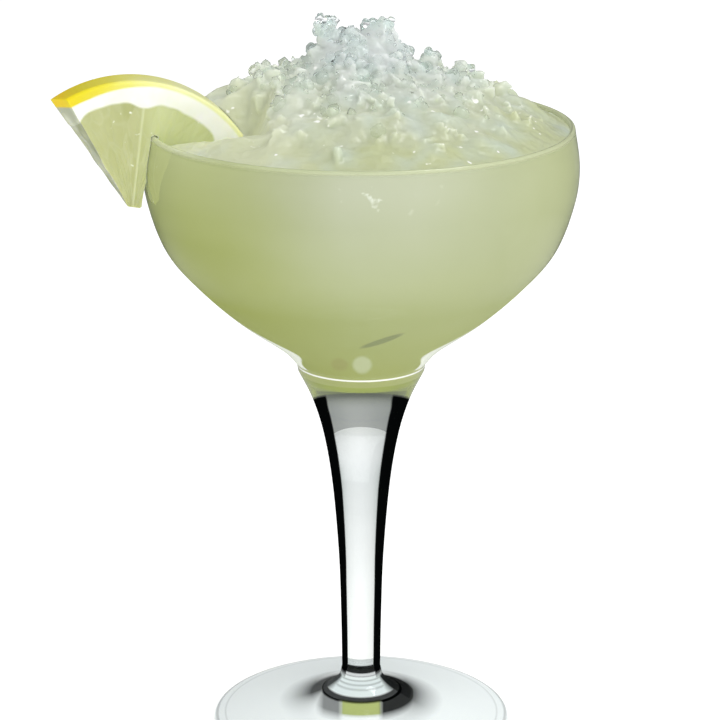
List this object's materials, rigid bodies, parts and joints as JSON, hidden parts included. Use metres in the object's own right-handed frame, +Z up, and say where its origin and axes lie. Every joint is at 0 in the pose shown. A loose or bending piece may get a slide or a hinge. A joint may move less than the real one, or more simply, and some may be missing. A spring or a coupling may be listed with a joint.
{
  "type": "gin fix cocktail",
  "caption": "Cloudy lemon gin cocktail in a stemmed saucer glass, heaped with crushed ice, with a lemon slice pushed over the rim.",
  "frame": {"origin": "middle of the underside of the glass's foot, on the surface that it stands on", "axes": "+Z up along the glass's axis; the lemon hangs on the -X side; -Y is the front"},
  "size_m": [0.1142, 0.0958, 0.1643],
  "materials": {
    "clear_glass": "polished",
    "cloudy_drink": "cloudy pale green liquid",
    "wet_ice": "wet, frosted inside",
    "lemon": "moist cut fruit with waxy rind"
  },
  "bodies": {
    "root": {"glass": "clear_glass", "drink": "cloudy_drink", "crushed_ice": "wet_ice", "lemon_wedge": "lemon"}
  },
  "joints": []
}
